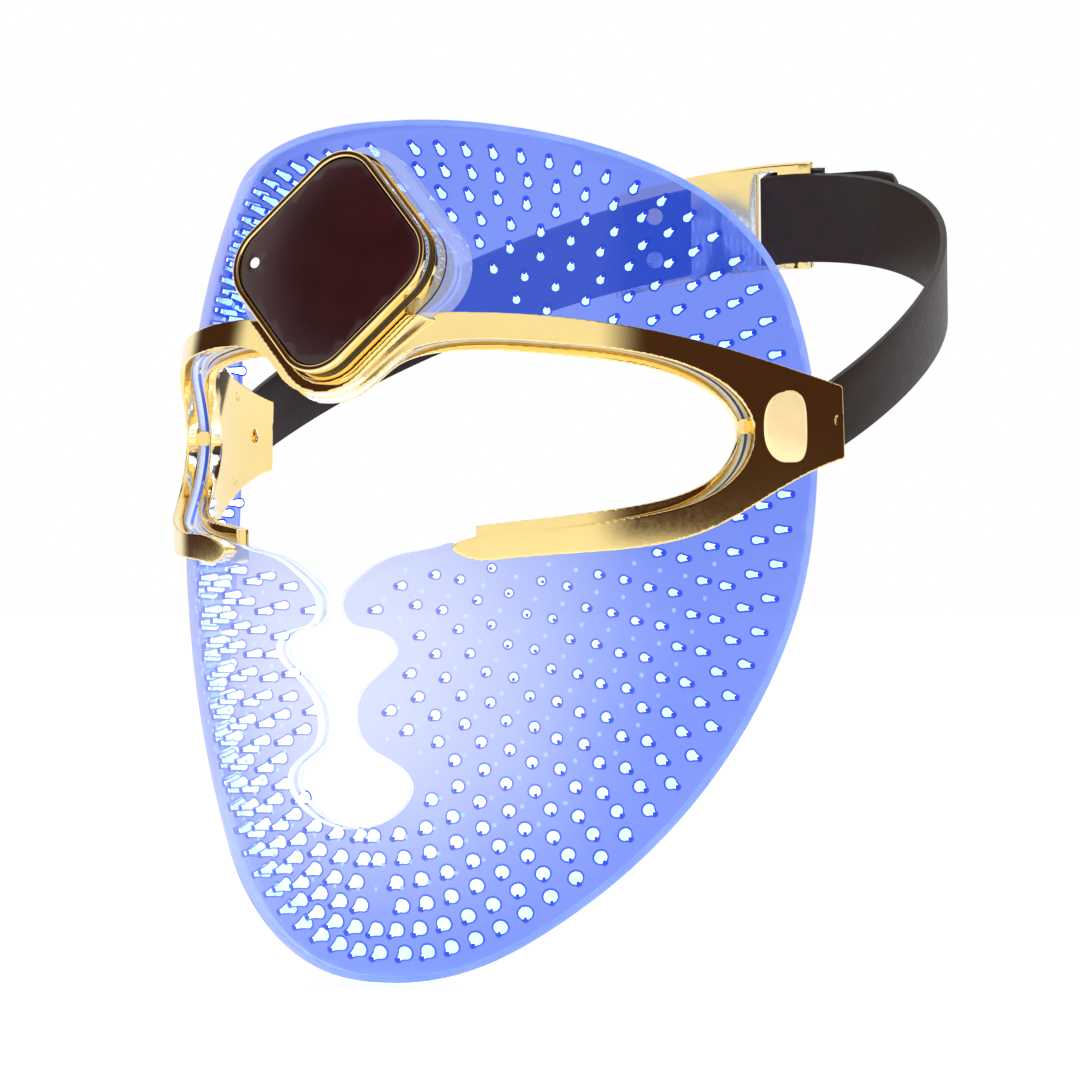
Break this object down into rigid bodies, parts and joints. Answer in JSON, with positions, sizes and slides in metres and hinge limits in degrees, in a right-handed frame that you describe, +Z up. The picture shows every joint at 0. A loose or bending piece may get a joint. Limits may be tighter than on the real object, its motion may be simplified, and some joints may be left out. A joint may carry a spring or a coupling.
{
  "type": "led face mask",
  "caption": "Translucent silicone light-therapy face mask with open eyes, nose and mouth, gold spectacle frame, rounded-square forehead controller and buckled head strap.",
  "frame": {"origin": "midway between the two temples, on the axis that the head strap swings about", "axes": "-Y out of the face, +X towards the wearer's left, +Z up"},
  "size_m": [0.1788, 0.2247, 0.202],
  "materials": {
    "clear_silicone": "translucent satin",
    "circuit_film": "translucent",
    "light_chip": "gloss",
    "light_lens": "gloss",
    "gold": "polished",
    "steel": "satin",
    "dark_plastic": "matte",
    "board": "matte",
    "cell": "satin",
    "gloss_cap": "high gloss",
    "gem": "polished",
    "strap_silicone": "satin"
  },
  "bodies": {
    "root": {"outer_skin": "clear_silicone", "edge_seal": "clear_silicone", "flex_circuit": "circuit_film", "inner_liner": "clear_silicone", "led_chips": "light_chip", "near_infrared_leds": "light_chip", "light_cones_forehead": "light_lens", "light_cones_cheeks": "light_lens", "front_frame": "gold", "rear_frame": "gold", "frame_pins": "steel", "temple_inlay_left": "gold", "temple_inlay_right": "gold", "pivot_pin_left": "steel", "pivot_pin_right": "steel", "controller_collar": "clear_silicone", "controller_housing": "dark_plastic", "housing_screws": "steel", "housing_ring": "gold", "bezel_ring": "gold", "inner_plate": "dark_plastic", "cap_spring": "steel", "button_switch": "dark_plastic", "circuit_board": "board", "battery": "cell", "charging_socket": "steel"},
    "cap": {"face_cap": "gloss_cap", "indicator_gem": "gem"},
    "strap_loop": {"strap_left": "strap_silicone", "strap_right": "strap_silicone", "strap_buckle": "gold", "buckle_rivets": "gold"},
    "tail": {"strap_tail": "strap_silicone"}
  },
  "joints": [
    {"name": "cap_press", "type": "slide", "parent": "root", "child": "cap", "axis": [0, 0.9588, -0.284], "range_m": [0, 0.0006], "stiffness_N_per_m": 1500, "springref_m": -0.0008, "deforming": ["cap_spring"]},
    {"name": "strap_swing", "type": "hinge", "parent": "root", "child": "strap_loop", "pos_m": [0, 0, 0], "axis": [1, 0, 0], "range_deg": [-28, 20]},
    {"name": "tail_lift", "type": "hinge", "parent": "strap_loop", "child": "tail", "pos_m": [0.00605, 0.1352, 0.059], "axis": [0, 0, 1], "range_deg": [0, 75], "stiffness_Nm_per_rad": 0.004}
  ]
}
